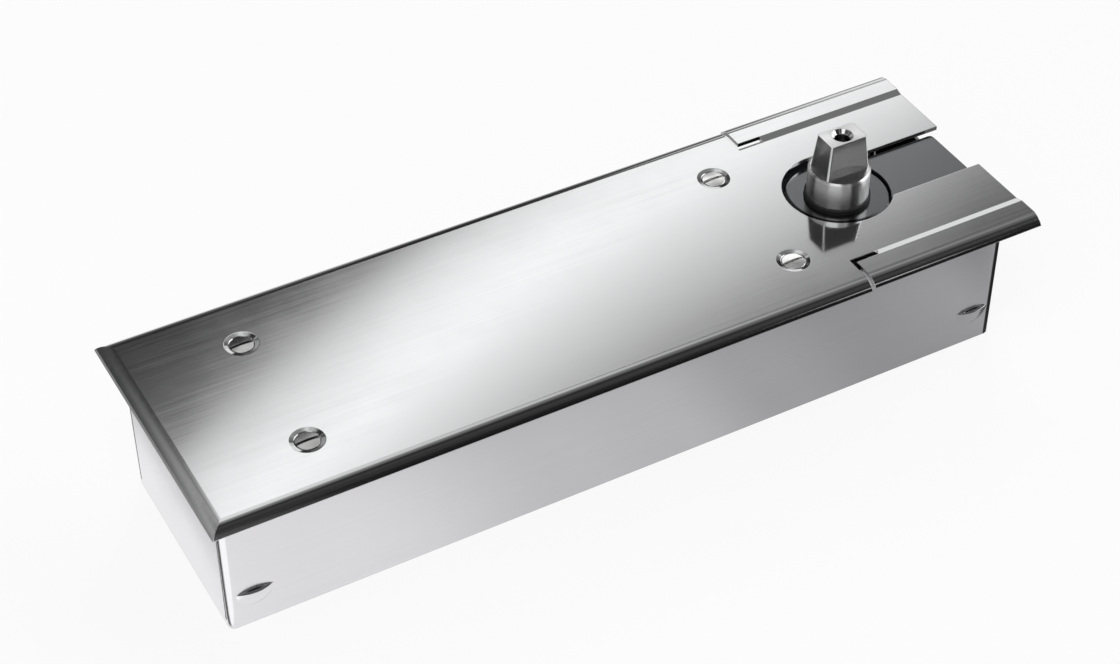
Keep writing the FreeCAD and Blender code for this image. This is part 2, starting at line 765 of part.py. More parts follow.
def spindle_shaft():
    """Journal, collar, shank and flat conical head, with a tapped centre hole and a keyway."""
    foot = foot_gap + bottom_cap_floor + seat_gap
    chamfer = edge_chamfer
    owner = body("spindle_shaft")
    section = sketch(owner, "shaft_section", "XZ_Plane")
    outline(
        section,
        [
            (0, foot), (journal_radius - chamfer, foot), (journal_radius, foot + chamfer),
            (journal_radius, chamber_floor), (collar_radius, chamber_floor), (collar_radius, cam_foot),
            (shank_radius, cam_foot), (shank_radius, shank_top - chamfer),
            (shank_radius - chamfer, shank_top), (0, shank_top),
        ],
    )
    turn = owner.newObject("PartDesign::Revolution", "shaft_turn")
    turn.Profile = section
    turn.ReferenceAxis = (section, ["V_Axis"])
    turn.Angle = 360
    low = sketch(owner, "head_foot", "XY_Plane", shank_top)
    rectangle(low, -taper_foot_long / 2, taper_foot_long / 2, -taper_foot_wide / 2, taper_foot_wide / 2)
    high = sketch(owner, "head_top", "XY_Plane", spindle_top)
    rectangle(high, -taper_top_long / 2, taper_top_long / 2, -taper_top_wide / 2, taper_top_wide / 2)
    loft = owner.newObject("PartDesign::AdditiveLoft", "head_loft")
    loft.Profile = low
    loft.Sections = [high]
    doc.recompute()
    edges = [
        f"Edge{index}"
        for index, edge in enumerate(loft.Shape.Edges, start=1)
        if number(shank_top) + 1 < edge.CenterOfMass.z < number(spindle_top) - 1
    ]
    arris = owner.newObject("PartDesign::Fillet", "head_arrises")
    arris.Base = (loft, edges)
    bind(arris, {"Radius": head_arris})
    keyway = sketch(owner, "shaft_keyway", "XY_Plane", cam_foot)
    rectangle(keyway, shank_radius - key_width / 2, shank_radius + 1, -key_width / 2, key_width / 2)
    pocket(owner, keyway, cam_thickness, "shaft_keyway_cut")
    tip = sketch(owner, "tip_hole", "XY_Plane", spindle_top - tip_hole_depth)
    circle(tip, 0, 0, tip_hole_radius)
    hole = pocket(owner, tip, tip_hole_depth + 1, "tip_hole_cut")
    doc.recompute()
    rim = [
        f"Edge{index}"
        for index, edge in enumerate(hole.Shape.Edges, start=1)
        if abs(edge.CenterOfMass.z - number(spindle_top)) < 1e-4
        and abs(edge.CenterOfMass.x) < 1e-4
        and edge.BoundBox.XLength < number(taper_top_wide) - 1
    ]
    lead = owner.newObject("PartDesign::Chamfer", "tip_hole_lead")
    lead.Base = (hole, rim)
    bind(lead, {"Size": tip_hole_chamfer})
    return owner


def cam_outline():
    """Face of the heart cam, from the path of the follower's centre.

    The follower's centre stands at rest_distance + rise * angle from the axis, so each radian of the door
    moves the piston by the same length. The face lies one follower radius inside that path, measured along
    its normal.
    """
    rest = number(cam_rest_distance)
    rise = number(cam_rise_per_radian)
    offset = number(follower_radius + running_gap)
    last = math.radians(cam_last_angle)
    steps = 16

    def face_point(angle, side):
        radius = rest + rise * angle
        slope = math.hypot(radius, rise)
        inward = radius - offset * radius / slope
        along = offset * rise / slope
        turn = math.pi + side * angle
        radial = FreeCAD.Vector(math.cos(turn), math.sin(turn), 0)
        tangent = FreeCAD.Vector(-math.sin(turn), math.cos(turn), 0) * side
        return radial * inward + tangent * along

    flanks = []
    for side in (1, -1):
        points = [face_point(last * step / steps, side) for step in range(steps + 1)]
        curve = Part.BSplineCurve()
        curve.interpolate(points)
        flanks.append((curve.toShape(), points))
    right, right_points = flanks[0]
    left, left_points = flanks[1]
    notch = Part.Arc(right_points[0], FreeCAD.Vector(offset - rest, 0, 0), left_points[0]).toShape()
    reach = right_points[-1].Length
    heel = Part.Arc(right_points[-1], FreeCAD.Vector(reach, 0, 0), left_points[-1]).toShape()
    return Part.Wire(Part.__sortEdges__([right, notch, left, heel]))


def heart_cam():
    """Heart cam with its bore and keyway."""
    blank = Part.Face(cam_outline()).extrude(FreeCAD.Vector(0, 0, number(cam_thickness)))
    blank.translate(FreeCAD.Vector(0, 0, number(cam_foot)))
    foot = FreeCAD.Vector(0, 0, number(cam_foot))
    bore = Part.makeCylinder(number(shank_radius), number(cam_thickness), foot)
    half = number(key_width) / 2
    corner = FreeCAD.Vector(0, -half, number(cam_foot))
    keyway = Part.makeBox(number(shank_radius) + half, 2 * half, number(cam_thickness), corner)
    thing = doc.addObject("Part::Feature", "heart_cam")
    thing.Shape = blank.cut(bore).cut(keyway)
    return thing


def piston():
    """Piston with oil grooves, the follower's yoke, the spring spigot and the non-return valve's bore."""
    owner = body("piston_body")
    skirt = sketch(owner, "piston_skirt", "YZ_Plane", piston_back)
    circle(skirt, 0, bore_height, barrel_radius - running_gap)
    pad(owner, skirt, piston_length, "piston_skirt_pad")
    spigot = sketch(owner, "piston_spigot", "YZ_Plane", piston_back - piston_spigot_length)
    circle(spigot, 0, bore_height, piston_spigot_radius)
    pad(owner, spigot, piston_spigot_length, "piston_spigot_pad")
    for word, low in (("low", yoke_inside_low - yoke_plate), ("high", yoke_inside_high)):
        arm = sketch(owner, f"yoke_{word}", "XY_Plane", low)
        rectangle(arm, piston_front - 1, -cam_rest_distance, -yoke_half_width, yoke_half_width)
        pad(owner, arm, yoke_plate, f"yoke_{word}_pad")
        eye = sketch(owner, f"yoke_{word}_eye", "XY_Plane", low)
        circle(eye, -cam_rest_distance, 0, yoke_half_width)
        pad(owner, eye, yoke_plate, f"yoke_{word}_eye_pad")
    pin_hole = sketch(owner, "piston_pin_hole", "XY_Plane", yoke_inside_low - yoke_plate - 1)
    circle(pin_hole, -cam_rest_distance, 0, pin_radius)
    pocket(owner, pin_hole, cam_thickness + 2 * yoke_plate + 3, "piston_pin_cut")
    through = sketch(owner, "piston_through_hole", "YZ_Plane", piston_back - piston_spigot_length)
    circle(through, 0, bore_height, valve_seat_radius)
    pocket(owner, through, piston_length + piston_spigot_length, "piston_through_cut")
    wide = sketch(owner, "piston_ball_bore", "YZ_Plane", piston_back - piston_spigot_length)
    circle(wide, 0, bore_height, ball_bore_radius)
    pocket(owner, wide, ball_seat - piston_back + piston_spigot_length, "piston_ball_cut")
    outer = barrel_radius - running_gap
    grooves = []
    for index in range(oil_groove_count):
        low = piston_back + (index + 1) * oil_groove_pitch
        high = low + oil_groove_width
        inner = outer - oil_groove_depth
        grooves.append(
            turned(
                f"oil_groove_{index + 1}",
                [(low, inner), (high, inner), (high, outer + 1), (low, outer + 1)],
                axis="H_Axis",
                z=bore_height,
            )
        )
    return cut("piston", owner, grooves)


def main_spring():
    """Closing spring: active turns between two closed end turns."""
    wire = number(spring_wire)
    mean = number(spring_outer_radius) - wire / 2
    length = number(spring_length) - wire
    turns = number(spring_turns)
    closed = wire + 2 * number(running_gap)
    pitch = (length - 2 * closed) / turns
    coils = [Part.makeHelix(closed, closed, mean), Part.makeHelix(pitch, pitch * turns, mean),
             Part.makeHelix(closed, closed, mean)]
    height = 0.0
    spine = []
    for coil, rise in zip(coils, (closed, pitch * turns, closed)):
        coil.translate(FreeCAD.Vector(0, 0, height))
        spine += coil.Edges
        height += rise
    path = Part.Wire(spine)
    section = Part.Wire(Part.makeCircle(wire / 2, FreeCAD.Vector(mean, 0, 0), FreeCAD.Vector(0, 1, 0)))
    coil = path.makePipeShell([section], True, True)
    thing = doc.addObject("Part::Feature", "main_spring")
    thing.Shape = coil
    middle = FreeCAD.Vector(number(spring_seat_face) + wire / 2, 0, number(bore_height))
    thing.Placement = FreeCAD.Placement(middle, FreeCAD.Rotation(FreeCAD.Vector(0, 1, 0), 90))
    return thing


def ring(name, centre_radius, wire_radius, x, y, z, along_x):
    """Rubber ring of round section about a vertical axis, or about one along X."""
    thing = doc.addObject("Part::Torus", name)
    bind(thing, {"Radius1": centre_radius, "Radius2": wire_radius})
    if along_x:
        thing.Placement = FreeCAD.Placement(FreeCAD.Vector(), FreeCAD.Rotation(FreeCAD.Vector(0, 1, 0), 90))
    place(thing, x, y, z)
    return thing


def ring_groove(radius, start, step):
    """Corners of a groove for a sealing ring in a turned surface, along the piece from start."""
    depth = 2 * seal_wire
    width = 2 * seal_wire + 2 * running_gap
    return [(radius, start), (radius - depth, start), (radius - depth, start + step * width),
            (radius, start + step * width)]


def swapped(points):
    """The same corners with the axis along the sketch's horizontal."""
    return [(along, out) for out, along in points]


def regulating_valve(name, seal_name, x):
    """Slotted needle screw with its sealing ring."""
    head = valve_head_radius
    stem = valve_stem_radius
    neck = housing_top - valve_head_length
    groove = neck - 2 * seal_wire
    tip = housing_top - valve_length
    shoulder = tip + valve_needle_length
    needle = turned(
        name + "_turned",
        [(0, tip), (stem / 2, shoulder), (stem, shoulder)]
        + ring_groove(stem, groove - 2 * seal_wire, 1)
        + [(stem, neck), (head, neck), (head, housing_top - edge_chamfer), (head - edge_chamfer, housing_top),
           (0, housing_top)],
        x=x,
        y=valve_offset,
    )
    half = driver_slot / 2
    slot = block(name + "_slot", x - 2 * head, x + 2 * head, valve_offset - half, valve_offset + half,
                 housing_top - driver_slot_depth, housing_top + 1)
    screw = cut(name, needle, [slot])
    centre = groove - seal_wire + running_gap
    seal = ring(seal_name, stem - seal_wire, seal_wire - press_gap, x, valve_offset, centre, False)
    return [screw, seal]


def cap_and_bearings():
    """Top cap, seal and roller bearing, and the foot bearing with its cap."""
    chamfer = edge_chamfer
    cap_bore = seal_radius + press_gap
    lip = cap_bore - cap_lip
    seal_seat = floor_height - seal_depth
    cap_foot = housing_top - seat_gap
    cap_spigot = race_outer - running_gap
    bearing_cap = turned(
        "bearing_cap",
        [
            (lip, cap_foot), (cap_spigot, cap_foot), (cap_spigot, housing_top),
            (cap_radius, housing_top), (cap_radius, floor_height - chamfer),
            (cap_radius - chamfer, floor_height), (cap_bore, floor_height), (cap_bore, seal_seat),
            (lip, seal_seat),
        ],
    )
    seal_inner = shank_radius + running_gap
    seal_top = floor_height + seal_stand
    spindle_seal = turned(
        "spindle_seal",
        [(seal_inner, seal_seat), (seal_radius, seal_seat), (seal_radius, seal_top - seal_chamfer),
         (seal_radius - seal_chamfer, seal_top), (seal_inner, seal_top)],
    )
    race_foot = cap_foot - 2 * running_gap - race_length
    race = turned(
        "top_bearing_ring",
        [(race_inner, race_foot), (race_outer, race_foot), (race_outer, race_foot + race_length),
         (race_inner, race_foot + race_length)],
    )
    count = int(2 * math.pi * number(roller_centre) / (2 * number(roller_radius) + top_roller_space))
    rollers = []
    for index in range(count):
        angle = 2 * math.pi * index / count
        rollers.append(
            rod(f"top_roller_{index + 1}", roller_radius, math.cos(angle) * roller_centre,
                math.sin(angle) * roller_centre, race_foot + edge_chamfer,
                race_foot + race_length - edge_chamfer)
        )
    washer_low = turned(
        "thrust_washer_lower",
        [(journal_radius + thrust_side_gap, thrust_seat), (thrust_outer_radius, thrust_seat),
         (thrust_outer_radius, thrust_seat + thrust_washer),
         (journal_radius + thrust_side_gap, thrust_seat + thrust_washer)],
    )
    washer_high = turned(
        "thrust_washer_upper",
        [(journal_radius + running_gap, chamber_floor - thrust_washer),
         (thrust_outer_radius, chamber_floor - thrust_washer), (thrust_outer_radius, chamber_floor),
         (journal_radius + running_gap, chamber_floor)],
    )
    thrust_rollers = []
    for index in range(thrust_roller_count):
        roller = doc.addObject("Part::Cylinder", f"thrust_roller_{index + 1}")
        start = journal_radius + edge_chamfer
        bind(roller, {"Radius": thrust_roller_radius, "Height": thrust_outer_radius - edge_chamfer - start})
        degrees = 360 / thrust_roller_count * index
        roller.Placement = FreeCAD.Placement(FreeCAD.Vector(), FreeCAD.Rotation(degrees, 90, 0))
        angle = math.radians(degrees)
        place(roller, math.cos(angle) * start, math.sin(angle) * start,
              thrust_seat + thrust_washer + thrust_roller_radius + running_gap)
        thrust_rollers.append(roller)
    recess = thrust_outer_radius + thrust_side_gap
    bush_outer = journal_radius + running_gap + bush_wall
    cap_top = chamber_floor - 2 * running_gap
    cap_outer = bottom_cap_radius - press_gap
    groove_foot = cap_top - 4 * seal_wire
    cap_floor = foot_gap + bottom_cap_floor
    cap_turned = turned(
        "bottom_cap_turned",
        [(0, foot_gap), (cap_outer, foot_gap)]
        + ring_groove(cap_outer, groove_foot, 1)
        + [(cap_outer, cap_top), (recess, cap_top), (recess, thrust_seat),
           (bush_outer, thrust_seat), (bush_outer, cap_floor), (0, cap_floor)],
    )
    cap_holes = [
        rod(f"bottom_cap_hole_{word}", wrench_hole_radius, side * cap_wrench_distance, 0, foot_gap - 1,
            foot_gap + wrench_hole_depth)
        for side, word in on_both_sides()
    ]
    bottom_cap = cut("bottom_cap", cap_turned, cap_holes)
    bush = turned(
        "bottom_bush",
        [(journal_radius + running_gap, cap_floor), (bush_outer, cap_floor),
         (bush_outer, thrust_seat), (journal_radius + running_gap, thrust_seat)],
    )
    cap_seal = ring("bottom_cap_seal", bottom_cap_radius - seal_wire, seal_wire - press_gap, 0, 0,
                    groove_foot + seal_wire + running_gap, False)
    return [bearing_cap, spindle_seal, race, group("top_bearing_rollers", rollers), washer_low, washer_high,
            group("thrust_rollers", thrust_rollers), bottom_cap, bush, cap_seal]


def follower():
    """Follower roller on its pin."""
    chamfer = edge_chamfer
    bore = pin_radius + running_gap
    low, high = cam_foot, cam_head
    roller = turned(
        "cam_roller",
        [(bore, low), (follower_radius - chamfer, low), (follower_radius, low + chamfer),
         (follower_radius, high - chamfer), (follower_radius - chamfer, high), (bore, high)],
        x=-cam_rest_distance,
    )
    pin = rod("roller_pin", pin_radius, -cam_rest_distance, 0, yoke_inside_low - yoke_plate,
              yoke_inside_high + yoke_plate)
    return [roller, pin]


def check_valve():
    """Ball and the pressed ring that keeps it in the piston."""
    ball = doc.addObject("Part::Sphere", "check_ball")
    bind(ball, {"Radius": ball_radius})
    place(ball, ball_place, 0, bore_height)
    stop = turned(
        "check_ball_stop",
        [(stop_face - stop_thickness, valve_seat_radius), (stop_face, valve_seat_radius),
         (stop_face, ball_bore_radius), (stop_face - stop_thickness, ball_bore_radius)],
        axis="H_Axis",
        z=bore_height,
    )
    return [ball, stop]


def barrel_end():
    """Spring seat, hollow plug with wrench holes, and preload screw."""
    spigot = piston_spigot_radius
    spigot_end = spring_seat_face + piston_spigot_length
    outer = barrel_radius - seat_gap
    seat = turned(
        "spring_seat",
        [(seat_back, 0), (seat_back, outer), (spring_seat_face, outer), (spring_seat_face, spigot),
         (spigot_end, spigot - edge_chamfer), (spigot_end, 0)],
        axis="H_Axis",
        z=bore_height,
    )
    bore = adjuster_radius + running_gap
    plug_groove = nose_end + plug_seal_inset
    cup_floor = nose_end + plug_end_wall
    cup = turned(
        "end_plug_turned",
        [(nose_end, bore), (nose_end, plug_radius)]
        + swapped(ring_groove(plug_radius, plug_groove, 1))
        + [(plug_front, plug_radius), (plug_front, barrel_radius), (cup_floor, barrel_radius),
           (cup_floor, bore)],
        axis="H_Axis",
        z=bore_height,
    )
    holes = []
    for side, word in on_both_sides():
        hole = rod(f"end_plug_hole_{word}", wrench_hole_radius, 0, 0, 0, wrench_hole_depth + 1)
        hole.Placement = FreeCAD.Placement(FreeCAD.Vector(), FreeCAD.Rotation(FreeCAD.Vector(0, 1, 0), 90))
        place(hole, nose_end - 1, side * plug_wrench_distance, bore_height)
        holes.append(hole)
    plug = cut("end_plug", cup, holes)
    plug_seal = ring("end_plug_seal", plug_radius - seal_wire, seal_wire - press_gap,
                     plug_groove + seal_wire + running_gap, 0, bore_height, True)
    end = nose_end - adjuster_stand
    adjuster_groove = nose_end + adjuster_seal_inset
    screw = turned(
        "spring_adjuster_turned",
        [(end, 0), (end, adjuster_radius - edge_chamfer), (end + edge_chamfer, adjuster_radius)]
        + swapped(ring_groove(adjuster_radius, adjuster_groove, 1))
        + [(seat_back - 2, adjuster_radius), (seat_back, adjuster_radius - 2), (seat_back, 0)],
        axis="H_Axis",
        z=bore_height,
    )
    socket = doc.addObject("Part::Prism", "adjuster_hexagon")
    socket.Polygon = 6
    socket.Placement = FreeCAD.Placement(FreeCAD.Vector(), FreeCAD.Rotation(FreeCAD.Vector(0, 1, 0), 90))
    bind(socket, {"Circumradius": adjuster_radius * 3 / 5, "Height": adjuster_radius + 1})
    place(socket, end - 1, 0, bore_height)
    adjuster = cut("spring_adjuster", screw, [socket])
    adjuster_seal = ring("adjuster_seal", adjuster_radius - seal_wire, seal_wire - press_gap,
                         adjuster_groove + seal_wire + running_gap, 0, bore_height, True)
    return [seat, plug, plug_seal, adjuster, adjuster_seal]


def oil_filler():
    """Socket screw and washer on the filler boss."""
    inner = filler_thread_radius + 2 * running_gap
    outer = filler_head_radius + edge_chamfer
    head_foot = filler_seat + filler_washer_height
    head_top = head_foot + filler_head_height
    washer = turned(
        "filler_washer",
        [(inner, filler_seat), (outer, filler_seat), (outer, head_foot), (inner, head_foot)],
        x=-filler_distance,
    )
    thread_foot = housing_top - filler_thread_radius
    screw = turned(
        "filler_plug_turned",
        [(0, thread_foot), (filler_thread_radius, thread_foot), (filler_thread_radius, head_foot),
         (filler_head_radius, head_foot), (filler_head_radius, head_top - edge_chamfer),
         (filler_head_radius - edge_chamfer, head_top), (0, head_top)],
        x=-filler_distance,
    )
    socket = doc.addObject("Part::Prism", "filler_hexagon")
    socket.Polygon = 6
    bind(socket, {"Circumradius": filler_thread_radius * 3 / 4, "Height": filler_thread_radius})
    place(socket, -filler_distance, 0, head_foot + edge_chamfer)
    return [cut("filler_plug", screw, [socket]), washer]


def key():
    half = key_width / 2
    return block("cam_key", shank_radius - half, shank_radius + half, -half, half, cam_foot, cam_head)


def build():
    """Makes every piece and returns the nodes by name."""
    fixings = [housing_screw(index, x, y) for index, (x, y) in enumerate(fixing_places(), start=1)]
    cover_fixings = [cover_screw(index, x, y) for index, (x, y) in enumerate(screw_places(), start=1)]
    pieces = [
        cement_box(),
        rail("rail_spindle_end", lug_open_end - rail_width),
        rail("rail_closed_end", lug_closed_end),
        closer_housing(),
        group("housing_screws", fixings),
        cover_plate(),
        group("cover_screws", cover_fixings),
        slot_strip(),
        spindle_shaft(),
        heart_cam(),
        key(),
        piston(),
        main_spring(),
    ]
    pieces += cap_and_bearings()
    pieces += follower()
    pieces += check_valve()
    pieces += barrel_end()
    for index, word in enumerate(("closing", "latching")):
        x = -first_valve_distance - index * valve_pitch
        pieces += regulating_valve(f"{word}_speed_valve", f"{word}_valve_seal", x)
    pieces += oil_filler()
    doc.recompute()
    return {piece.Name: piece for piece in pieces}


def check_document():
    """Stops if any object failed to build."""
    failed = [item.Name for item in doc.Objects if "Invalid" in item.State or "Error" in item.State]
    if failed:
        raise RuntimeError(f"these objects failed: {failed}")


def check_shape(name, shape):
    """Stops if a piece has no solid or its shape isn't sound."""
    if shape.isNull() or not shape.isValid() or not shape.Solids:
        raise RuntimeError(f"{name} has no sound solid")
    for solid in shape.Solids:
        if solid.Volume <= 0:
            raise RuntimeError(f"{name} has a solid with no volume")


nodes = build()
check_document()
for name, piece in nodes.items():
    check_shape(name, piece.Shape)
os.makedirs("parts", exist_ok=True)
for name, piece in nodes.items():
    piece.Label = name
    piece.Shape.exportStep(f"parts/{name}.step")
print(f"{len(nodes)} nodes")
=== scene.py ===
"""Looks of the floor spring door closer: materials, small pieces, studio and camera round the part."""

import math

import bmesh
import bpy
from mathutils import Matrix, Vector


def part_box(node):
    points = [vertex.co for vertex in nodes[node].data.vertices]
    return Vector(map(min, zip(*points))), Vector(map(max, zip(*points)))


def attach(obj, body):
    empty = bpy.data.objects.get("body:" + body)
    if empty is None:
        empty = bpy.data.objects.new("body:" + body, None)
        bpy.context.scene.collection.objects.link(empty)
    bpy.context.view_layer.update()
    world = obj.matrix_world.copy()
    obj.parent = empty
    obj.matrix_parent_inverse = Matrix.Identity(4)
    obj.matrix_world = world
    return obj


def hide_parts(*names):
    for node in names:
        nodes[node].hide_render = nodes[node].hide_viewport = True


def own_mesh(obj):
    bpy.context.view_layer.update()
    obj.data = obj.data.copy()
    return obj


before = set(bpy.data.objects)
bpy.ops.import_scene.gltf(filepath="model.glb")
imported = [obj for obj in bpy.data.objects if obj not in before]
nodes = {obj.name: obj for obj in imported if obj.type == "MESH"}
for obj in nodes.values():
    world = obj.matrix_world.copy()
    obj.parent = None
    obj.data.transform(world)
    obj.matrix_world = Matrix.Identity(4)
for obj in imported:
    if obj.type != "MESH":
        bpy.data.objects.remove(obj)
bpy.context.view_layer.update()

MILLIMETRE = 0.001
RADIAN = 180 / math.pi  # in degrees
LOUVRE_STAND = 1.6 * MILLIMETRE
HEAD_HEIGHT = 12.9 * MILLIMETRE

box_low, box_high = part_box("cement_box")
box_side = box_high.y - LOUVRE_STAND
head_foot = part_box("spindle_shaft")[1].z - HEAD_HEIGHT

# How fast each kind of grain varies along X, Y and Z, and for turned metal along radius, height and turn.
GRAIN_STRETCH = {
    "drawn": (18.0, 2600.0, 2600.0),
    "turned": (3000.0, 3000.0, 40.0),
    "ground": (900.0, 900.0, 900.0),
}
WORN_EDGE = 0.25 * MILLIMETRE
WEAR = 0.3
GROUND_ROUGHNESS = 0.13
RUBBED_EDGE = 0.3 * MILLIMETRE


class Graph:
    """Builds shader nodes: a value is a number, a colour, or an output socket."""

    def __init__(self, tree):
        self.tree = tree
        tree.nodes.clear()

    def node(self, kind, inputs=None, **settings):
        made = self.tree.nodes.new(kind)
        for name, value in settings.items():
            setattr(made, name, value)
        for name, value in (inputs or {}).items():
            self.feed(made.inputs[name], value)
        return made

    def feed(self, socket, value):
        if isinstance(value, bpy.types.NodeSocket):
            self.tree.links.new(value, socket)
        else:
            socket.default_value = value

    def calc(self, operation, *values, clamp=False):
        made = self.node("ShaderNodeMath", operation=operation, use_clamp=clamp)
        for index, value in enumerate(values):
            self.feed(made.inputs[index], value)
        return made.outputs[0]

    def product(self, first, second):
        return self.calc("MULTIPLY", first, second)

    def total(self, first, second):
        return self.calc("ADD", first, second)

    def length(self, first, second):
        """The length of the vector with these two parts."""
        return self.calc("SQRT", self.total(self.product(first, first), self.product(second, second)))

    def fit(self, value, low, high, out_low=0.0, out_high=1.0, smooth=True):
        """Maps low..high to out_low..out_high."""
        kind = "SMOOTHSTEP" if smooth else "LINEAR"
        made = self.node(
            "ShaderNodeMapRange",
            {"Value": value, "From Min": low, "From Max": high, "To Min": out_low, "To Max": out_high},
            interpolation_type=kind,
        )
        return made.outputs["Result"]

    def window(self, value, low, high, soft):
        """1 between low and high, with ends that fade over twice soft."""
        rise = self.fit(value, low - soft, low + soft)
        fall = self.fit(value, high - soft, high + soft, 1.0, 0.0)
        return self.product(rise, fall)

    def blend(self, amount, first, second):
        """A number or colour between first and second."""
        made = self.node("ShaderNodeMix", data_type="RGBA")
        self.feed(made.inputs[0], amount)
        for index, value in ((6, first), (7, second)):
            if isinstance(value, (int, float)):
                value = (value, value, value, 1.0)
            elif isinstance(value, tuple) and len(value) == 3:
                value = (*value, 1.0)
            self.feed(made.inputs[index], value)
        return made.outputs[2]

    def ramp(self, value, low, high, stops):
        """Greys at positions along low..high, which count as 0..1."""
        made = self.node("ShaderNodeValToRGB", {"Fac": self.fit(value, low, high, smooth=False)})
        made.color_ramp.interpolation = "EASE"
        elements = made.color_ramp.elements
        while len(elements) < len(stops):
            elements.new(0.5)
        for element, (position, grey) in zip(elements, stops):
            element.position = position
            element.color = (grey, grey, grey, 1.0)
        return made.outputs["Color"]

    def noise(self, vector, scale, stretch=(1.0, 1.0, 1.0), detail=3.0, roughness=0.55):
        spread = self.node("ShaderNodeVectorMath", {0: vector, 1: stretch}, operation="MULTIPLY").outputs[0]
        made = self.node(
            "ShaderNodeTexNoise",
            {"Vector": spread, "Scale": scale, "Detail": detail, "Roughness": roughness},
        )
        return made.outputs["Fac"]

    def place(self):
        """The point on the surface, in metres of the frame."""
        return self.node("ShaderNodeTexCoord").outputs["Object"]

    def parts(self, vector):
        """The vector's X, Y and Z."""
        return self.node("ShaderNodeSeparateXYZ", {"Vector": vector}).outputs[:]

    def finish_surface(self, shader_output):
        out = self.node("ShaderNodeOutputMaterial")
        self.tree.links.new(shader_output, out.inputs["Surface"])


def new_material(name):
    """An empty node material and the graph that fills it."""
    material = bpy.data.materials.new(name)
    material.use_nodes = True
    return material, Graph(material.node_tree)


def link_mesh(name, mesh):
    """A new object of the scene that shows the mesh."""
    made = bpy.data.objects.new(name, mesh)
    bpy.context.scene.collection.objects.link(made)
    return made


def shaded(colour, factor):
    """The colour, darker or lighter."""
    return tuple(min(1.0, channel * factor) for channel in colour)


def soft_edges(graph, radius):
    """The normal rounded over the edges, and a mask that is 1 near them and 0 on open faces."""
    rounded = graph.node("ShaderNodeBevel", {"Radius": radius}, samples=8).outputs["Normal"]
    flat = graph.node("ShaderNodeNewGeometry").outputs["Normal"]
    agreement = graph.node("ShaderNodeVectorMath", {0: rounded, 1: flat}, operation="DOT_PRODUCT")
    return rounded, graph.fit(agreement.outputs["Value"], 0.99, 0.82)


def eased(graph, normal, keep):
    """The normal with slopes under about 10 degrees eased to the share keep, and those over 15 kept."""
    gentle, steep = 0.984, 0.965
    x, y, z = graph.parts(normal)
    share = graph.fit(z, steep, gentle, 1.0, keep)
    flatter = graph.node(
        "ShaderNodeCombineXYZ", {"X": graph.product(x, share), "Y": graph.product(y, share), "Z": z}
    )
    return graph.node("ShaderNodeVectorMath", {0: flatter.outputs[0]}, operation="NORMALIZE").outputs[0]


def metal(name, colour, roughness, grain, depth, spread, blotch, specks=0.0, anisotropy=0.0,
          ground_above=None, ease=None, painted_shade=None):
    """Bare metal with drawn, turned or ground grain, patchy gloss, handling marks and bright worn edges.

    The grain is depth millimetres deep, spread varies its gloss and blotch its colour. Above the height
    ground_above it is ground smooth. With ease, shallow presswork shades softly. Painted shade is a mask of
    the place and the share of the colour that it leaves there, which darkens the colour as painted shade.
    """
    material, graph = new_material(name)
    point = graph.place()
    x, y, z = graph.parts(point)
    stretch = GRAIN_STRETCH[grain]
    grained = point
    if grain == "turned":
        around = graph.product(graph.calc("ARCTAN2", y, x), 0.01)
        unrolled = graph.node("ShaderNodeCombineXYZ", {"X": graph.length(x, y), "Y": z, "Z": around})
        grained = unrolled.outputs[0]
    lines = graph.noise(grained, 1.0, stretch, detail=4.0)
    coarse = graph.noise(grained, 0.35, stretch, detail=2.0)
    patches = graph.noise(point, 28.0, detail=5.0, roughness=0.6)
    marks = graph.noise(point, 320.0, (1.0, 1.6, 1.0), detail=2.0)
    grainy = graph.total(graph.product(lines, 0.65), graph.product(coarse, 0.35))
    tone = graph.total(graph.product(grainy, 0.6), graph.product(patches, 0.4))
    base = graph.blend(graph.fit(tone, 0.3, 0.7), shaded(colour, 1.0 - blotch), shaded(colour, 1.0 + blotch))
    normal, edges = soft_edges(graph, WORN_EDGE)
    if ease is not None:
        normal = eased(graph, normal, ease)
    worn = graph.product(edges, graph.fit(marks, 0.35, 0.6, 0.4, 1.0))
    base = graph.blend(graph.product(worn, WEAR), base, shaded(colour, 1.25))
    if specks:
        dirt = graph.fit(graph.noise(point, 900.0, detail=3.0), 0.62, 0.72, 0.0, specks)
        base = graph.blend(dirt, base, shaded(colour, 0.45))
    # Painted shade: the colour darkened to the given share where the mask lies.
    if painted_shade is not None:
        mask, share = painted_shade
        base = graph.blend(mask(graph, x, y), base, shaded(colour, share))
    grain_gloss = graph.fit(grainy, 0.25, 0.75, -spread, spread)
    patch_gloss = graph.fit(patches, 0.3, 0.7, -spread * 0.5, spread * 0.7)
    gloss = graph.total(graph.total(grain_gloss, patch_gloss), graph.product(worn, 0.06))
    if ground_above is not None:
        blended_from = ground_above - 0.2 * MILLIMETRE
        roughness = graph.fit(z, blended_from, ground_above, roughness, GROUND_ROUGHNESS)
    gloss = graph.calc("ADD", gloss, roughness, clamp=True)
    bump = graph.node(
        "ShaderNodeBump",
        {"Strength": 0.25, "Distance": depth * MILLIMETRE, "Height": grainy, "Normal": normal},
    )
    shader = graph.node(
        "ShaderNodeBsdfPrincipled",
        {"Base Color": base, "Roughness": gloss, "Normal": bump.outputs["Normal"]},
    )
    shader.inputs["Metallic"].default_value = 1.0
    if anisotropy:
        shader.inputs["Anisotropic"].default_value = anisotropy
        shader.inputs["Anisotropic Rotation"].default_value = 0.25
        round_axis = graph.node("ShaderNodeTangent", direction_type="RADIAL", axis="Z")
        graph.feed(shader.inputs["Tangent"], round_axis.outputs[0])
    graph.finish_surface(shader.outputs["BSDF"])
    return material


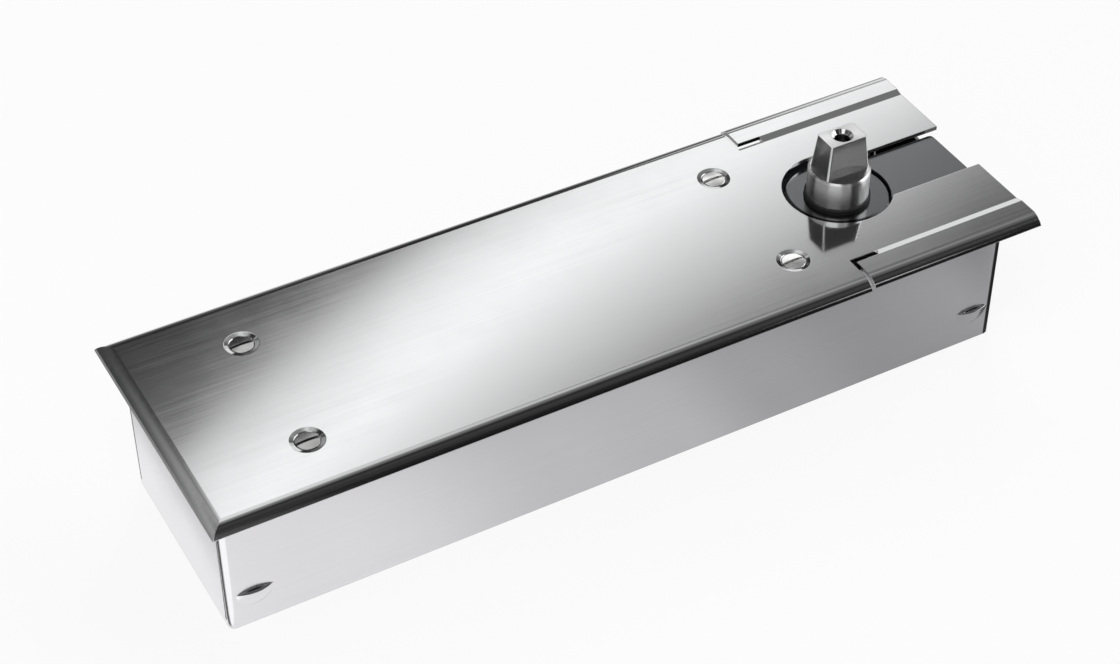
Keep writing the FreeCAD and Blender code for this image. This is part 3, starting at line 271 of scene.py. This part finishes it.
def coated(name, colour, roughness, depth, pit_scale, chip, under):
    """Paint, oxide or rubber with a fine skin, patchy colour and edges rubbed to the colour under it."""
    material, graph = new_material(name)
    point = graph.place()
    skin = graph.noise(point, pit_scale, detail=5.0, roughness=0.65)
    patches = graph.noise(point, 45.0, detail=4.0)
    base = graph.blend(graph.fit(patches, 0.3, 0.7), shaded(colour, 0.8), shaded(colour, 1.25))
    normal, edges = soft_edges(graph, RUBBED_EDGE)
    rubbed = graph.product(edges, graph.fit(skin, 0.42, 0.6))
    base = graph.blend(graph.product(rubbed, chip), base, under)
    gloss = graph.calc("ADD", graph.fit(skin, 0.3, 0.7, -0.08, 0.08), roughness, clamp=True)
    bump = graph.node(
        "ShaderNodeBump", {"Strength": 0.5, "Distance": depth * MILLIMETRE, "Height": skin, "Normal": normal}
    )
    shader = graph.node(
        "ShaderNodeBsdfPrincipled",
        {"Base Color": base, "Roughness": gloss, "Normal": bump.outputs["Normal"]},
    )
    graph.finish_surface(shader.outputs["BSDF"])
    return material


def fold_shade_mask(graph, x, y):
    """1 on the fold at the slotted end of the box's front, where a dark shade is painted into the colour."""
    from_end = graph.fit(x, box_high.x - 3.1 * MILLIMETRE, box_high.x - 2.6 * MILLIMETRE)
    from_side = graph.fit(y, 3.4 * MILLIMETRE - box_side, 3.0 * MILLIMETRE - box_side)
    return graph.product(from_end, from_side)


def ring_shade_mask(graph, x, y):
    """1 on the part of the disc round the spindle that lies in the shade of the cover's opening."""
    aside = graph.calc("SUBTRACT", x, 2.1 * MILLIMETRE)
    ahead = graph.calc("SUBTRACT", y, 2.7 * MILLIMETRE)
    outside = graph.fit(graph.length(aside, ahead), 17.3 * MILLIMETRE, 17.7 * MILLIMETRE)
    return graph.product(outside, graph.fit(x, 9.0 * MILLIMETRE, 1.0 * MILLIMETRE))


def far_head_shade_mask(graph, x, y):
    """1 on the two cover screws at the closed end, whose heads are painted darker as shade."""
    return graph.fit(x, -120.0 * MILLIMETRE, -160.0 * MILLIMETRE)


def paint(names, material):
    for name in names:
        data = nodes[name].data
        data.materials.clear()
        data.materials.append(material)


def visible_metals():
    """The seen pieces: drawn sheet, the turned spindle and its disc, and the screw heads."""
    paint(
        ["cover_plate"],
        metal("satin_cover", (0.68, 0.685, 0.69), 0.088, grain="drawn", depth=0.0012, spread=0.02,
              blotch=0.02, ease=0.45),
    )
    # The fold at the box's slotted end is painted dark, as painted shade.
    paint(
        ["cement_box"],
        metal("satin_box", (0.70, 0.69, 0.71), 0.22, grain="drawn", depth=0.003, spread=0.04,
              blotch=0.03, painted_shade=(fold_shade_mask, 0.05)),
    )
    paint(
        ["slot_strip"],
        metal("rolled_strip", (0.25, 0.255, 0.26), 0.2, grain="drawn", depth=0.0012, spread=0.03,
              blotch=0.04),
    )
    # The disc's outer ring is painted black, as painted shade from the cover's opening.
    paint(
        ["bearing_cap"],
        metal("turned_cap", (0.2, 0.205, 0.21), 0.2, grain="turned", depth=0.0012, spread=0.04,
              blotch=0.04, painted_shade=(ring_shade_mask, 0.08)),
    )
    paint(
        ["spindle_shaft"],
        metal("turned_spindle", (0.74, 0.74, 0.74), 0.3, grain="turned", depth=0.0008, spread=0.02,
              blotch=0.03, anisotropy=0.95, ground_above=head_foot),
    )
    # The two screw heads at the closed end are painted darker, as painted shade.
    paint(
        ["cover_screws"],
        metal("screw_steel", (0.93, 0.93, 0.92), 0.14, grain="ground", depth=0.001, spread=0.03,
              blotch=0.03, ease=0.3, painted_shade=(far_head_shade_mask, 0.5)),
    )


def inner_metals():
    """The pieces in the box and in the housing that are bare or plated."""
    paint(
        ["rail_spindle_end", "rail_closed_end", "end_plug", "bottom_cap", "filler_plug"],
        metal("zinc_plate", (0.55, 0.56, 0.54), 0.34, grain="ground", depth=0.03, spread=0.07,
              blotch=0.08, specks=0.3),
    )
    paint(
        ["heart_cam", "roller_pin", "cam_roller", "check_ball", "top_bearing_ring", "top_bearing_rollers",
         "thrust_washer_lower", "thrust_washer_upper", "thrust_rollers"],
        metal("bearing_steel", (0.64, 0.65, 0.67), 0.14, grain="turned", depth=0.01, spread=0.04,
              blotch=0.03),
    )
    paint(
        ["piston", "cam_key", "check_ball_stop", "spring_seat", "spring_adjuster"],
        metal("machined_steel", (0.56, 0.57, 0.58), 0.24, grain="turned", depth=0.02, spread=0.06,
              blotch=0.04),
    )
    paint(
        ["closing_speed_valve", "latching_speed_valve", "bottom_bush"],
        metal("bronze", (0.62, 0.43, 0.22), 0.28, grain="turned", depth=0.02, spread=0.06, blotch=0.06),
    )
    paint(
        ["filler_washer"],
        metal("copper", (0.75, 0.42, 0.28), 0.30, grain="ground", depth=0.02, spread=0.06, blotch=0.08),
    )


def coatings():
    """Painted iron, blackened steel and rubber."""
    paint(
        ["closer_housing"],
        coated("cast_paint", (0.055, 0.06, 0.07), 0.48, depth=0.12, pit_scale=700.0, chip=0.35,
               under=(0.28, 0.28, 0.28)),
    )
    paint(
        ["housing_screws"],
        coated("black_oxide", (0.02, 0.02, 0.022), 0.35, depth=0.02, pit_scale=900.0, chip=0.4,
               under=(0.2, 0.2, 0.2)),
    )
    paint(
        ["main_spring"],
        coated("oiled_spring", (0.035, 0.037, 0.042), 0.30, depth=0.03, pit_scale=800.0, chip=0.3,
               under=(0.25, 0.25, 0.26)),
    )
    paint(
        ["spindle_seal", "end_plug_seal", "adjuster_seal", "bottom_cap_seal", "closing_valve_seal",
         "latching_valve_seal"],
        coated("seal_rubber", (0.008, 0.008, 0.0085), 0.6, depth=0.03, pit_scale=1200.0, chip=0.0,
               under=(0.02, 0.02, 0.02)),
    )


def coil_spring():
    """The closing spring as a swept tube."""
    low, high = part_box("main_spring")
    wire = 2.3 * MILLIMETRE
    mean = (high.y - low.y) / 2 - wire
    centre = (high.z + low.z) / 2
    start, end = low.x + wire, high.x - wire
    active, closed, steps, sides = 12, 1, 28, 12
    pitch_closed = 2.05 * wire
    pitch_active = (end - start - 2 * pitch_closed) / active
    mesh = bpy.data.meshes.new("spring_coil")
    shape = bmesh.new()
    rings = []
    turns = active + 2 * closed
    for index in range(turns * steps + 1):
        turn = index / steps
        if turn < closed:
            x = start + pitch_closed * turn
            climb = pitch_closed
        elif turn > closed + active:
            x = end - pitch_closed * (turns - turn)
            climb = pitch_closed
        else:
            x = start + pitch_closed + pitch_active * (turn - closed)
            climb = pitch_active
        angle = 2 * math.pi * turn
        outward = Vector((0, math.sin(angle), math.cos(angle)))
        run = mean * 2 * math.pi
        along = Vector((climb, run * math.cos(angle), -run * math.sin(angle)))
        aside = along.normalized().cross(outward)
        middle = Vector((x, mean * outward.y, centre + mean * outward.z))
        rings.append([
            shape.verts.new(middle + wire * (outward * math.cos(t) + aside * math.sin(t)))
            for t in (2 * math.pi * side / sides for side in range(sides))
        ])
    for first, second in zip(rings, rings[1:]):
        for side in range(sides):
            following = (side + 1) % sides
            shape.faces.new((first[side], first[following], second[following], second[side]))
    shape.faces.new(reversed(rings[0]))
    shape.faces.new(rings[-1])
    bmesh.ops.recalc_face_normals(shape, faces=shape.faces)
    shape.to_mesh(mesh)
    shape.free()
    for face in mesh.polygons:
        face.use_smooth = True
    mesh.materials.append(bpy.data.materials["oiled_spring"])
    coil = link_mesh("spring_coil", mesh)
    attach(coil, "root")
    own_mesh(coil)
    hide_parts("main_spring")


def lip_outline(steps):
    """The lip from above, along the wall and out from it: a straight edge, and an arc in the bulge."""
    half_chord, clearance, slit = 6.3 * MILLIMETRE, 0.2 * MILLIMETRE, 0.5 * MILLIMETRE
    bulge = (half_chord ** 2 + LOUVRE_STAND ** 2) / (2 * LOUVRE_STAND)
    inside = bulge - clearance
    reach = math.sqrt(inside ** 2 - (bulge - LOUVRE_STAND + slit) ** 2)
    straight = [(reach * (2 * step / steps - 1), slit) for step in range(steps + 1)]
    back = [reach * (1 - 2 * step / steps) for step in range(1, steps)]
    arc = [(along, LOUVRE_STAND - bulge + math.sqrt(inside ** 2 - along ** 2)) for along in back]
    return straight + arc


def louvre_lips():
    """The turned upper edge of each pressed louvre, which leaves a thin slit at the box wall; its pale white
    colour is a painted glint.
    """
    top, thick, from_end = 13.95 * MILLIMETRE, 0.35 * MILLIMETRE, 9.4 * MILLIMETRE
    outline = lip_outline(steps=16)
    # A pale, matt white in place of the box's metal: painted glints on the lips.
    lip_glint_white = coated("painted_glint_edge", (0.78, 0.78, 0.79), 0.4, depth=0.02, pit_scale=900.0, chip=0.2,
                     under=(0.9, 0.9, 0.9))
    for end, middle in (("closed", box_low.x + from_end), ("open", box_high.x - from_end)):
        for side, word in ((-1, "front"), (1, "back")):
            name = f"louvre_lip_{end}_{word}"
            shape = bmesh.new()
            face = shape.faces.new(
                [shape.verts.new((middle + along, side * (box_side + out), top)) for along, out in outline]
            )
            pressed = bmesh.ops.extrude_face_region(shape, geom=[face])
            moved = [part for part in pressed["geom"] if isinstance(part, bmesh.types.BMVert)]
            bmesh.ops.translate(shape, verts=moved, vec=(0, 0, -thick))
            bmesh.ops.recalc_face_normals(shape, faces=shape.faces)
            mesh = bpy.data.meshes.new(name)
            shape.to_mesh(mesh)
            shape.free()
            mesh.materials.append(lip_glint_white)
            lip = link_mesh(name, mesh)
            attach(lip, "root")


def far_softbox(graph, turn, height):
    """The slanting bright band that the flat cover mirrors, and the strips below it that the rims mirror."""
    middle_turn, middle_height, lean = 24.0, 42.5, 1.8
    raised = graph.product(graph.calc("SUBTRACT", height, middle_height), lean)
    slant = graph.total(graph.calc("SUBTRACT", turn, middle_turn), raised)
    band = graph.ramp(
        slant, -16.0, 24.0,
        [(0.0, 0.025), (0.12, 0.045), (0.24, 0.13), (0.31, 1.2), (0.40, 1.5),
         (0.46, 1.05), (0.53, 0.72), (0.59, 0.40), (0.66, 0.18), (1.0, 0.34)],
    )
    band = graph.product(band, graph.fit(turn, 38.5, 42.5, 1.0, 0.65))
    low_right = graph.blend(graph.fit(turn, 38.0, 50.0), 1.0, 0.12)
    low_left = graph.blend(graph.fit(turn, 17.0, 21.0), 0.14, 0.04)
    low_strips = graph.blend(graph.fit(turn, 26.5, 29.5), low_left, low_right)
    return graph.blend(graph.fit(height, 27.0, 34.0), low_strips, band)


def end_card(graph, turn, height):
    """Rings of grey round the direction of +Y, which the rim at the closed end mirrors."""
    return graph.ramp(
        graph.length(turn, height), 36.0, 52.0,
        [(0.0, 0.4), (0.28, 0.3), (0.42, 0.05), (0.52, 0.06), (0.58, 0.1),
         (0.63, 0.16), (0.7, 0.27), (0.79, 0.55), (0.85, 0.4), (0.91, 0.04)],
    )


def dark_front(graph, turn, height):
    """The unlit side that the front rim mirrors, with a small card for the head and a lit end towards -Y."""
    flag = graph.ramp(
        height, 0.0, 60.0, [(0.0, 0.3), (0.12, 0.2), (0.2, 0.05), (0.3, 0.01), (0.62, 0.022), (0.75, 0.05)]
    )
    lit_end = graph.blend(graph.fit(turn, 167.5, 170.0), 0.07, 0.7)
    front = graph.blend(graph.fit(turn, 162.5, 165.5), flag, lit_end)
    head_card = graph.product(graph.window(turn, 144.4, 147.4, 0.6), graph.window(height, 28.4, 33.0, 0.8))
    return graph.blend(head_card, front, 0.75)


def overhead(graph, turn, height):
    """Light from above the softbox, which falls off from the far side round to the front."""
    shoulder = graph.ramp(
        turn, 0.0, 180.0,
        [(0.11, 1.0), (0.17, 0.75), (0.24, 0.5), (0.29, 0.36), (0.36, 0.24),
         (0.5, 0.15), (0.62, 0.05), (0.74, 0.06), (0.86, 0.04)],
    )
    high = graph.ramp(
        turn, 0.0, 180.0,
        [(0.14, 0.85), (0.21, 0.52), (0.28, 0.32), (0.37, 0.22), (0.52, 0.12),
         (0.62, 0.03), (0.7, 0.035), (0.78, 0.06), (0.88, 0.05)],
    )
    return graph.blend(graph.fit(height, 50.0, 64.0), shoulder, high)


def studio_world():
    """Light by direction, in degrees: turn goes from +Y towards +X, and height up from the floor.

    The camera itself sees white.
    """
    world = bpy.data.worlds.new("studio")
    bpy.context.scene.world = world
    world.use_nodes = True
    graph = Graph(world.node_tree)
    ray = graph.node("ShaderNodeTexCoord").outputs["Generated"]
    x, y, z = graph.parts(ray)
    turn = graph.product(graph.calc("ARCTAN2", x, y), RADIAN)
    height = graph.product(graph.calc("ARCSINE", z), RADIAN)

    card = end_card(graph, turn, height)
    past_card = graph.fit(turn, 2.0, 12.0)
    far = graph.blend(past_card, card, far_softbox(graph, turn, height))
    right_box = graph.blend(graph.fit(turn, 62.0, 70.0), far, graph.fit(height, 24.0, 34.0, 1.2, 3.2))
    to_front = graph.blend(
        graph.fit(height, 20.0, 26.0), graph.fit(turn, 136.0, 142.0), graph.fit(turn, 118.0, 126.0)
    )
    low = graph.blend(to_front, right_box, dark_front(graph, turn, height))
    end_sky = graph.blend(graph.fit(height, 58.0, 68.0), card, 0.6)
    top = graph.blend(past_card, end_sky, overhead(graph, turn, height))
    whole = graph.blend(graph.fit(height, 44.5, 49.0), low, top)
    left_shade = graph.blend(graph.fit(height, 60.0, 70.0), graph.fit(height, 30.0, 40.0, 0.75, 0.07), 0.6)
    left = graph.blend(graph.fit(turn, -56.0, -62.0), whole, left_shade)
    viewer_box = graph.product(
        graph.window(height, 18.0, 68.0, 8.0), graph.window(turn, -158.0, -112.0, 5.0)
    )
    lit = graph.blend(viewer_box, left, 1.25)
    seen = graph.node("ShaderNodeLightPath").outputs["Is Camera Ray"]
    background = graph.node("ShaderNodeBackground", {"Color": graph.blend(seen, lit, 1.0), "Strength": 1.0})
    out = graph.node("ShaderNodeOutputWorld")
    graph.tree.links.new(background.outputs["Background"], out.inputs["Surface"])


def mirrored_floor(graph, across, deep):
    """The floor's brightness in metal: less towards the slotted end, with cards and flags at the corners."""
    level = graph.ramp(
        across, -0.30, 0.10,
        [(0.0, 1.25), (0.25, 1.06), (0.45, 0.72), (0.55, 0.66),
         (0.65, 0.47), (0.76, 0.36), (0.86, 0.4), (0.93, 0.25)],
    )
    # Away from the front and past the closed end the walls mirror a darker floor.
    past_front = graph.product(graph.fit(deep, -0.072, -0.1), graph.fit(across, -0.22, -0.18, 0.0, 0.38))
    past_end = graph.product(graph.fit(across, -0.250, -0.264), graph.fit(deep, -0.05, -0.01))
    past_end = graph.product(past_end, graph.fit(deep, 0.0, 0.075, 0.6, 0.8, smooth=False))
    level = graph.product(level, graph.calc("SUBTRACT", 1.0, graph.total(past_front, past_end)))
    card_level, flag_level, soft = 1.5, 0.02, 3.0
    corners = (
        (box_low.x, -1.0, (-2.0, 92.0), (100.0, 148.0)),
        (box_high.x, 1.0, (43.0, 46.0), (47.0, 115.0)),
    )
    for corner_x, outward, card, flag in corners:
        aside = graph.product(graph.calc("SUBTRACT", across, corner_x), outward)
        ahead = graph.calc("SUBTRACT", -box_side, deep)
        angle = graph.product(graph.calc("ARCTAN2", aside, ahead), RADIAN)
        near = graph.fit(graph.length(aside, ahead), 0.06, 0.1, 1.0, 0.0)
        for (first, last), sector_level in ((card, card_level), (flag, flag_level)):
            sector = graph.product(graph.window(angle, first, last, soft), near)
            level = graph.blend(sector, level, sector_level)
    return level


def pale_floor():
    """A matt floor that keeps the object's shadow, close to white for the camera and graded for mirrors."""
    half = 4.0
    lowered = 0.05 * MILLIMETRE
    white_to_camera, graded_to_mirrors = 0.86, 0.85
    mesh = bpy.data.meshes.new("floor")
    corners = [(-half, -half, 0), (half, -half, 0), (half, half, 0), (-half, half, 0)]
    mesh.from_pydata(corners, [], [(0, 1, 2, 3)])
    floor = link_mesh("floor", mesh)
    floor.location.z = -lowered
    material, graph = new_material("pale_floor")
    point = graph.place()
    across, deep, _ = graph.parts(point)
    tone = graph.blend(graph.noise(point, 3.0), 0.80, 0.84)
    matt = graph.node("ShaderNodeBsdfDiffuse", {"Color": tone})
    path = graph.node("ShaderNodeLightPath").outputs
    white = (1.0, 1.0, 1.0, 1.0)
    strength = mirrored_floor(graph, across, deep)
    graded = graph.node("ShaderNodeEmission", {"Color": white, "Strength": strength})
    direct = graph.node("ShaderNodeEmission", {"Color": white, "Strength": 1.0})
    glossy = graph.calc("MAXIMUM", path["Is Glossy Ray"], path["Is Transmission Ray"])
    seen = graph.node("ShaderNodeMixShader", {0: graph.product(path["Is Camera Ray"], white_to_camera)})
    graph.tree.links.new(matt.outputs[0], seen.inputs[1])
    graph.tree.links.new(direct.outputs[0], seen.inputs[2])
    mirrored = graph.node("ShaderNodeMixShader", {0: graph.product(glossy, graded_to_mirrors)})
    graph.tree.links.new(seen.outputs[0], mirrored.inputs[1])
    graph.tree.links.new(graded.outputs[0], mirrored.inputs[2])
    graph.finish_surface(mirrored.outputs[0])
    mesh.materials.append(material)


def lamps():
    """Two soft lamps for the matt pieces and the floor's shadow, which metal doesn't mirror."""
    aimed_at = Vector((-0.1, 0, 0))
    for name, place, size, power in (
        ("key_light", (-0.7, -0.5, 1.3), 0.9, 9.0),
        ("back_light", (0.5, 1.0, 1.1), 0.7, 5.0),
    ):
        data = bpy.data.lights.new(name, "AREA")
        data.size = size
        data.energy = power
        lamp = bpy.data.objects.new(name, data)
        aim = aimed_at - Vector(place)
        lamp.matrix_world = Matrix.Translation(place) @ aim.to_track_quat("-Z", "Y").to_matrix().to_4x4()
        lamp.visible_glossy = False
        bpy.context.scene.collection.objects.link(lamp)


def camera():
    """The photograph's view: in front of the closed end, looking down at about 41 degrees."""
    turn, height, roll = math.radians(-28.90), math.radians(41.43), math.radians(-0.08)
    target = Vector((-116.70, -16.01, 51.0)) * MILLIMETRE
    distance = 786.27 * MILLIMETRE
    back = Vector((math.sin(turn) * math.cos(height), -math.cos(turn) * math.cos(height), math.sin(height)))
    right = Vector((0, 0, 1)).cross(back).normalized()
    up = back.cross(right)
    rolled_right = right * math.cos(roll) + up * math.sin(roll)
    rolled_up = up * math.cos(roll) - right * math.sin(roll)
    data = bpy.data.cameras.new("camera")
    data.sensor_fit = "HORIZONTAL"
    data.sensor_width = 36.0
    data.lens = 79.12
    data.clip_start = 0.01
    viewer = bpy.data.objects.new("camera", data)
    turned = Matrix((rolled_right, rolled_up, back)).transposed().to_4x4()
    viewer.matrix_world = Matrix.Translation(target + back * distance) @ turned
    bpy.context.scene.collection.objects.link(viewer)
    bpy.context.scene.camera = viewer


visible_metals()
inner_metals()
coatings()
coil_spring()
louvre_lips()
studio_world()
pale_floor()
lamps()
camera()
bpy.context.scene.view_settings.view_transform = "Standard"
